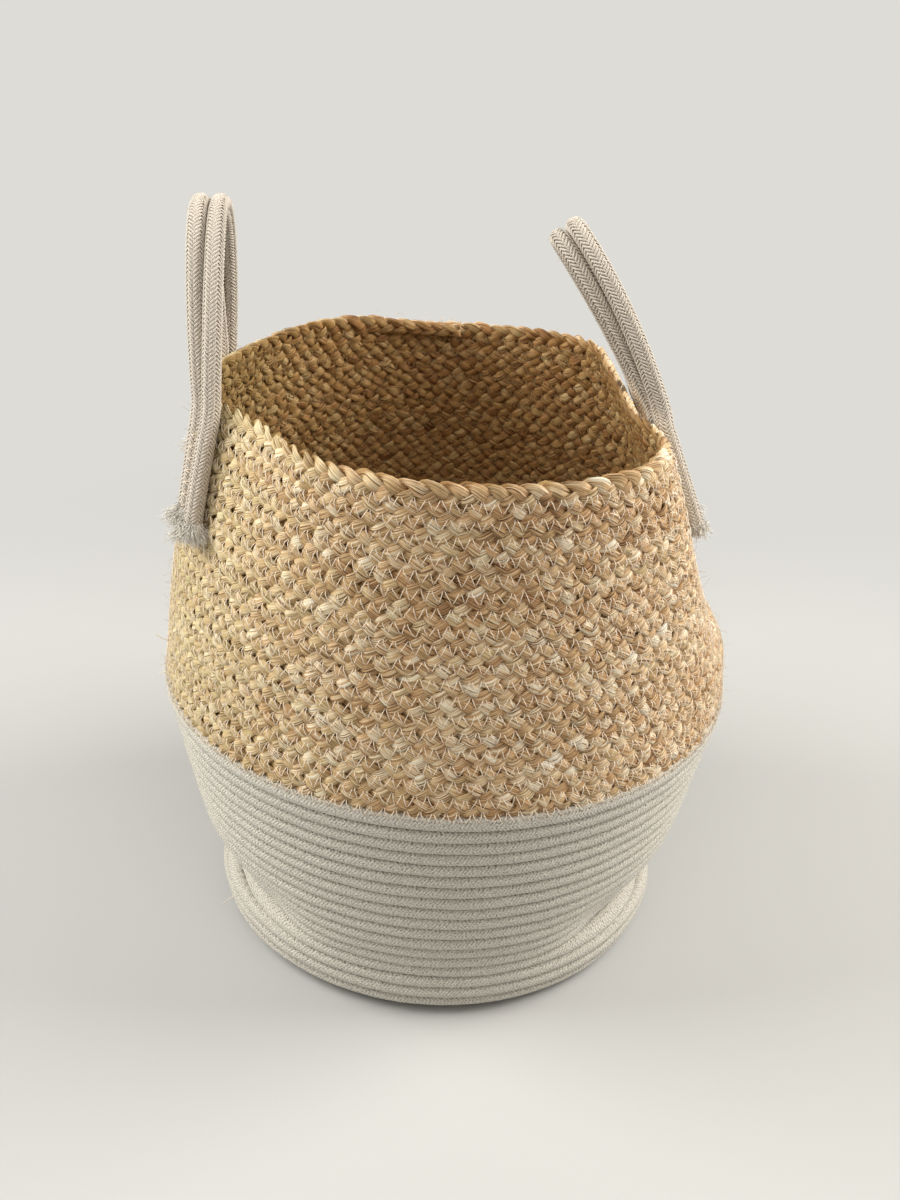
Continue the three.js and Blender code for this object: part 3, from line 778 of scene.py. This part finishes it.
def raffia_stitching():
    """The zigzags between the rows of raffia: off-white outside, tan inside."""
    turns = stitch_turns(COTTON_ROWS, COTTON_ROWS + RAFFIA_ROWS - 1)
    half = len(turns) // 2
    for name, shape, thread in (("outer", OUTER_RAFFIA_ZIGZAG, SEWING),
                                ("inner", INNER_RAFFIA_ZIGZAG, UNDER_THREAD)):
        for part, rows in (("low", slice(0, half + 1)), ("high", slice(half, len(turns)))):
            paths, facing = zigzag(turns[rows], raffia_row / 2 - STITCH_SHIFT, **shape)
            mesh = sweep(paths, facing, THREAD / 2, THREAD / 2, sides=3)
            rides(build(f"raffia_{name}_stitching_{part}", [mesh], thread), "sewing_thread")


def seam_stitching():
    """The zigzag that sews the first row of raffia to the last row of cotton."""
    turns = stitch_turns(COTTON_ROWS - 1, COTTON_ROWS)
    paths, facing = zigzag(turns, cotton_row / 2 + SEAM_SHIFT, **SEAM_ZIGZAG)
    mesh = sweep(paths, facing, THREAD / 2, THREAD / 2, sides=3)
    rides(build("seam_stitching", [mesh], SEWING), "sewing_thread", "seam_thread")


def cotton_stitching():
    """The fine zigzags between the rows of cotton, outside and inside."""
    turns = stitch_turns(0.0, COTTON_ROWS - 1)
    for name, shape in (("outer", OUTER_COTTON_ZIGZAG), ("inner", INNER_COTTON_ZIGZAG)):
        paths, facing = zigzag(turns, cotton_row / 2, **shape)
        mesh = sweep(paths, facing, COTTON_THREAD / 2, COTTON_THREAD / 2, sides=3)
        rides(build(f"cotton_{name}_stitching", [mesh], FIBRE), "cotton_coil")


# Handles

def pivot_line(handle):
    """The two points at the rim about which a handle swings."""
    feet = []
    for degrees, stand_off in zip(handle["feet"], handle["stand_off"]):
        outside = RAFFIA_THICKNESS / 2 + cord_radius + stand_off
        foot = off_wall(np.radians(degrees), np.float64(wall_length), outside)[0]
        foot[2] = RIM_HEIGHT + PIVOT_ABOVE_RIM
        feet.append(foot)
    return feet


def leg_points(handle, foot, sign, down, rise):
    """Where a cord of a sewn leg lies: so far down from the rim, and so far off the wall."""
    angle = np.radians(lerp(handle["feet"][foot], handle["ends"][foot], down / LEG_LENGTH))
    outside = RAFFIA_THICKNESS / 2 + LEG_CLEARANCE + rise + 0 * down
    point, around = off_wall(angle, wall_length - down, outside)
    turn = np.sign(handle["feet"][foot] - handle["feet"][1 - foot])
    return point + around * (np.asarray(sign) * turn * pair_half)[..., None]


def loop_route(handle, sign):
    """One cord of a loop, as the frame's solids have it: the pair turns a quarter turn going up.
    At its feet the pair starts from the way in which the wall runs, as the soft cords do."""
    feet = pivot_line(handle)
    along = feet[1] - feet[0]
    width = np.linalg.norm(along)
    along = along / width
    inward = np.array([-handle["side"], 0.0, 0.0])
    inward = unit(inward - along * (inward @ along))
    upward = np.array([0, 0, 1.0])
    power = 2 / handle["squareness"]
    turn = math.pi * np.arange(ARCH_STEPS + 1) / ARCH_STEPS

    def place(turn):
        c = np.cos(turn)
        s = np.maximum(0, np.sin(turn))
        return width / 2 * (1 - np.sign(c) * np.abs(c) ** power), handle["height"] * s**power

    def leaning(angle):
        return upward * np.cos(angle)[:, None] + inward * np.sin(angle)[:, None]

    u, v = place(turn)
    after = place(np.minimum(math.pi, turn + 0.01))
    before = place(np.maximum(0, turn - 0.01))
    run = unit(np.stack([after[0] - before[0], after[1] - before[1]], 1))
    climb = v / handle["height"]
    starts = []
    for foot, way in ((0, -1), (1, 1)):
        one, other = (leg_points(handle, foot, cord, LIE_DEPTH, cord_radius) for cord in (1, -1))
        lie = one - other
        starts.append(math.atan2(lie @ np.cross(along, upward), way * (lie @ along)))
    start = np.where(turn < math.pi / 2, starts[0], starts[1])
    twist = start + (math.pi / 2 - start) * (1 - (1 - climb) ** handle["turn_ease"])
    foot_lean, top_lean = np.radians(handle["lean"])
    lean = lerp(foot_lean, top_lean, climb)
    up = leaning(lean)
    points = feet[0] + along * u[:, None] + leaning((foot_lean + lean) / 2) * v[:, None]
    outward = along * -run[:, 1:] + up * run[:, :1]
    points = points + outward * (sign * pair_half * np.cos(twist))[:, None]
    return points + np.cross(along, up) * (sign * pair_half * np.sin(twist))[:, None]


def cord_route(handle, sign):
    """A handle cord from cut end to cut end: up the wall, over the arch, and down again."""
    down = np.linspace(LEG_LENGTH + sign * LEG_STAGGER / 2, LEG_TOP, 10)
    front = leg_points(handle, 0, sign, down, cord_radius)
    back = leg_points(handle, 1, sign, down[::-1], cord_radius)
    route = np.concatenate([front, loop_route(handle, sign), back])
    return evenly(smooth_line(route, per_span=12), CORD_STEP)


def carried_frame(path):
    """Two directions across a path that turn as little as they can along it."""
    along = unit(np.gradient(path, axis=0))
    side = np.zeros_like(path)
    side[0] = unit(np.cross(along[0], [0.3, 0.2, 0.9]))
    for i in range(1, len(path)):
        side[i] = side[i - 1] - along[i] * (side[i - 1] @ along[i])
        side[i] /= np.linalg.norm(side[i])
    return side, np.cross(along, side)


def braided_cord(path):
    """A herringbone sheath: yarns wound each way that pass over and under each other in straight
    columns along the cord, on a plain core."""
    side, up = carried_frame(path)
    run = lengths_along(path)
    middle = cord_radius - YARN_DEPTH
    paths, facings = [], []
    for way in (1, -1):
        for k in range(YARNS):
            angle = 2 * math.pi * (way * run / YARN_LEAD + (k + 0.25) / YARNS)
            wave = way * np.sin(YARN_COLUMNS / 2 * angle)
            radius = middle + YARN_WAVE * np.clip(YARN_CROSSING * wave, -1, 1)
            outward = side * np.cos(angle)[:, None] + up * np.sin(angle)[:, None]
            paths.append(path + outward * radius[:, None])
            facings.append(outward)
    sheath = sweep(np.array(paths), np.array(facings), YARN_WIDTH / 2, YARN_THICKNESS / 2, sides=4)
    core_radius = middle - CORE_GAP
    core = sweep(path[None, ::4], side[None, ::4], core_radius, core_radius, sides=10)
    return [sheath, core]


def frayed_end(tip, outward, fibres, long, flare):
    """A cut end: fine fibres that splay from the cord's last few millimetres and curl back."""
    direction = unit(outward)
    side = unit(np.cross(direction, [0.31, 0.52, 0.8]))
    up = np.cross(direction, side)
    spread = random.uniform(0, 1, fibres) ** 0.5
    angle = random.uniform(0, 2 * math.pi, fibres)
    radial = side * np.cos(angle)[:, None] + up * np.sin(angle)[:, None]
    start = tip - direction * FRAY_START + radial * (spread * cord_radius * FRAY_WIDTH)[:, None]
    length = long * random.uniform(*FRAY_LENGTHS, fibres)
    t = np.linspace(0, 1, 6)
    splay = radial * (spread * flare * random.uniform(*FRAY_SPLAYS, fibres))[:, None]
    curl = random.normal(0, FRAY_CURL, (fibres, 3))
    wave = random.normal(0, FRAY_WAVE, (fibres, 3))
    paths = start[:, None] + direction * (length[:, None] * t)[..., None] + splay[:, None] * (t**1.3)[:, None]
    paths = paths + curl[:, None] * (t**2)[:, None] + wave[:, None] * np.sin(2 * math.pi * t)[:, None]
    radius = FRAY_THICKNESS / 2 * (1 - 0.5 * t)[None] * random.uniform(*FRAY_THICKNESSES, (fibres, 1))
    facing = np.broadcast_to(unit(radial + direction * 0.1)[:, None], paths.shape)
    return sweep(paths, facing, radius, radius, sides=3)


def fuzz(points, normals, length, thickness):
    """Short stray fibres, curved at random, that stand off a surface."""
    count = len(points)
    t = np.linspace(0, 1, 4)
    lean = unit(normals + random.normal(0, FUZZ_LEAN, (count, 3)))
    long = length * random.uniform(*FUZZ_LENGTHS, count)
    curl = random.normal(0, FUZZ_CURL, (count, 3)) * long[:, None]
    paths = points[:, None] + lean[:, None] * (long[:, None] * t)[..., None] + curl[:, None] * (t**2)[:, None]
    side = unit(np.cross(lean, random.normal(0, 1, (count, 3))))
    radius = thickness / 2 * (1 - 0.5 * t)[None]
    return sweep(paths, np.broadcast_to(side[:, None], paths.shape), radius, radius, sides=3)


def cord_fuzz(path):
    """Stray fibres all round a handle cord."""
    pick = random.integers(0, len(path), CORD_FIBRES["count"])
    side, up = carried_frame(path)
    angle = random.uniform(0, 2 * math.pi, len(pick))
    outward = side[pick] * np.cos(angle)[:, None] + up[pick] * np.sin(angle)[:, None]
    roots = path[pick] + outward * cord_radius * 0.95
    return fuzz(roots, outward, CORD_FIBRES["length"], CORD_FIBRES["thickness"])


def handle_cords():
    """Two cords to a handle, each in one length that bends at the rim, with their tufts and stitches."""
    for handle in HANDLES:
        name = handle["name"]
        child = f"{name}_handle"
        tufts = []
        for label, sign in (("long", 1), ("short", -1)):
            path = cord_route(handle, sign)
            parts = braided_cord(path)
            for tip, before in ((path[0], path[5]), (path[-1], path[-6])):
                tufts.append(frayed_end(tip, tip - before, handle["fibres"], handle["tuft"], handle["flare"]))
            parts.append(cord_fuzz(path))
            piece = build(f"{child}_{label}_cord", parts, YARN)
            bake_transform(piece)
            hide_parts(f"{name}_loop_{label}_cord", f"{name}_front_leg_{label}_cord",
                        f"{name}_back_leg_{label}_cord")
        rides(build(f"{name}_cut_ends", tufts, FIBRE), "cotton_handle")
        for foot, place in enumerate(("front", "back")):
            leg_stitching(handle, foot, f"{name}_{place}_leg")


def leg_stitching(handle, foot, leg):
    """A zigzag over the two cords of a leg, from below the rim to the cut ends."""
    down = np.arange(HANDLE_CORD + LEG_ZIGZAG_MARGIN, LEG_LENGTH - LEG_ZIGZAG_MARGIN, STITCH_PITCH / 2)
    sign = np.where(np.arange(len(down)) % 2 == 0, LEG_ZIGZAG_REACH, -LEG_ZIGZAG_REACH)
    t = np.linspace(0, 1, 6)
    d = lerp(down[:-1, None], down[1:, None], t)
    s = lerp(sign[:-1, None], sign[1:, None], t)
    rise = HANDLE_CORD - LEG_ZIGZAG_DIP * (1 - np.abs(s) / LEG_ZIGZAG_REACH) ** 0.7
    paths = leg_points(handle, foot, s, d, rise)
    above = leg_points(handle, foot, s, d, rise + OUT_STEP)
    mesh = sweep(paths, unit(above - paths), THREAD / 2, THREAD / 2, sides=4)
    rides(build(f"{leg}_stitching", [mesh], SEWING), "sewing_thread", f"{leg}_thread")


def coil_fuzz():
    """Stray fibres over the cotton wall, thicker at its top edge, and split hairs over the braid."""
    top = COTTON_ROWS + RAFFIA_ROWS
    for name, first, last, fibres, material, slot in (
            ("cotton_fuzz", 3, COTTON_ROWS, WALL_FIBRES, FIBRE, "cotton_coil"),
            ("cotton_edge_fuzz", COTTON_ROWS - 1, COTTON_ROWS, EDGE_FIBRES, FIBRE, "cotton_coil"),
            ("raffia_hairs", COTTON_ROWS, top, RAFFIA_HAIRS, HAIR, "raffia")):
        count = fibres["count"]
        at_edge = fibres is EDGE_FIBRES
        turns = random.uniform(first, last, count)
        angle, place = coil_place(turns)
        if at_edge:
            place = place + cotton_row * EDGE_PLACE
        else:
            place = place + random.uniform(-0.5, 0.5, count) * raffia_row
        points = wall_points(angle, place, FIBRE_ROOT + 0 * place)
        normals = unit(wall_points(angle, place, FIBRE_ROOT + OUT_STEP + 0 * place) - points)
        if at_edge:
            normals = normals + np.array([0, 0, 1.0])
        mesh = fuzz(points, normals, fibres["length"], fibres["thickness"])
        rides(build(name, [mesh], material), slot)


def thread_tails():
    """The few long ends of thread that stand off the wall's left side."""
    for i, (degrees, length, long, droop) in enumerate(TAILS):
        angle = np.radians(degrees)
        start = wall_points(angle, np.float64(length), TAIL_ROOT)
        outward = unit(wall_points(angle, np.float64(length), TAIL_AIM) - start)
        t = np.linspace(0, 1, 12)[:, None]
        path = start + outward * long * t + np.array([0, TAIL_SIDEWAYS, droop]) * long * t**2
        mesh = sweep(path[None], np.array([0, 0, 1.0]), THREAD / 2, THREAD / 2, sides=4)
        rides(build(f"thread_tail_{i + 1}", [mesh], SEWING), "sewing_thread")


# Stage, light and camera

def stage():
    """A pale floor that keeps the shadow near the basket and runs out into the plain background."""
    bpy.ops.mesh.primitive_plane_add(size=FLOOR_SIZE)
    floor = bpy.context.active_object
    floor.name = "studio_floor"
    made, tree = new_material("matt studio paper")
    place = add_node(tree, "ShaderNodeTexCoord").outputs["Object"]
    away = add_node(tree, "ShaderNodeVectorMath", {0: place}, operation="LENGTH").outputs["Value"]
    faded = add_node(tree, "ShaderNodeMapRange", {
        "Value": away, "From Min": SHADOW_FADES, "From Max": SHADOW_GONE},
        interpolation_type="SMOOTHSTEP").outputs[0]
    seen = add_node(tree, "ShaderNodeLightPath").outputs["Is Camera Ray"]
    share = add_node(tree, "ShaderNodeMath", {0: faded, 1: seen}, operation="MULTIPLY").outputs[0]
    paper = add_node(tree, "ShaderNodeBsdfDiffuse", {"Color": linear(PAPER)})
    plain = add_node(tree, "ShaderNodeEmission", {"Color": linear(BACKGROUND), "Strength": 1.0})
    mixed = add_node(tree, "ShaderNodeMixShader", {"Fac": share, 1: paper.outputs[0], 2: plain.outputs[0]})
    add_node(tree, "ShaderNodeOutputMaterial", {"Surface": mixed.outputs[0]})
    floor.data.materials.append(made)


def studio():
    """Soft light from all round. The camera, metal and glass see the plain background instead."""
    world = bpy.data.worlds.new("studio")
    bpy.context.scene.world = world
    world.use_nodes = True
    tree = world.node_tree
    tree.nodes.clear()
    ray = add_node(tree, "ShaderNodeLightPath").outputs
    seen = ray["Is Camera Ray"]
    for other in ("Is Glossy Ray", "Is Transmission Ray"):
        seen = add_node(tree, "ShaderNodeMath", {0: seen, 1: ray[other]}, operation="MAXIMUM").outputs[0]
    room = add_node(tree, "ShaderNodeBackground", {"Color": linear(ROOM), "Strength": ROOM_LIGHT})
    plain = add_node(tree, "ShaderNodeBackground", {"Color": linear(BACKGROUND), "Strength": 1.0})
    mixed = add_node(tree, "ShaderNodeMixShader", {"Fac": seen, 1: room.outputs[0], 2: plain.outputs[0]})
    add_node(tree, "ShaderNodeOutputWorld", {"Surface": mixed.outputs[0]})


def softbox(name, place, size, power, colour):
    """A square lamp that faces the basket's middle."""
    light = bpy.data.lights.new(name, "AREA")
    light.shape = "SQUARE"
    light.size = size
    light.energy = power
    light.color = linear(colour)[:3]
    made = bpy.data.objects.new(name, light)
    made.location = place
    made.rotation_euler = (Vector(LIT_POINT) - Vector(place)).to_track_quat("-Z", "Y").to_euler()
    bpy.context.scene.collection.objects.link(made)


def camera():
    """The photograph's view: 27 degrees down, rolled a little, from 0.75 m in front."""
    forward = np.array([0, math.cos(CAMERA_PITCH), -math.sin(CAMERA_PITCH)])
    right = np.array([1.0, 0, 0])
    down = np.cross(forward, right)
    x = right * math.cos(CAMERA_ROLL) - down * math.sin(CAMERA_ROLL)
    y = right * math.sin(CAMERA_ROLL) + down * math.cos(CAMERA_ROLL)
    data = bpy.data.cameras.new("camera")
    data.sensor_width = SENSOR
    data.lens = SENSOR * FOCAL_PIXELS / PICTURE_PIXELS
    made = bpy.data.objects.new("camera", data)
    turned = Matrix([x, -y, -forward]).transposed().to_4x4()
    made.matrix_world = Matrix.Translation(CAMERA_PLACE) @ turned
    bpy.context.scene.collection.objects.link(made)
    bpy.context.scene.camera = made


camera()
bpy.ops.object.select_all(action="DESELECT")
stage()
studio()
softbox("left_softbox", place=(-1.3, -0.1, 1.1), size=1.0, power=27, colour="#fffef9")
softbox("right_softbox", place=(1.3, 0.1, 1.2), size=1.0, power=31, colour="#fffcf6")
softbox("front_fill", place=(0.1, -1.1, 1.9), size=1.2, power=10, colour="#fffaf5")
cotton_coil()
raffia_braid()
raffia_stitching()
seam_stitching()
cotton_stitching()
handle_cords()
coil_fuzz()
thread_tails()

bpy.context.scene.view_settings.view_transform = "Standard"
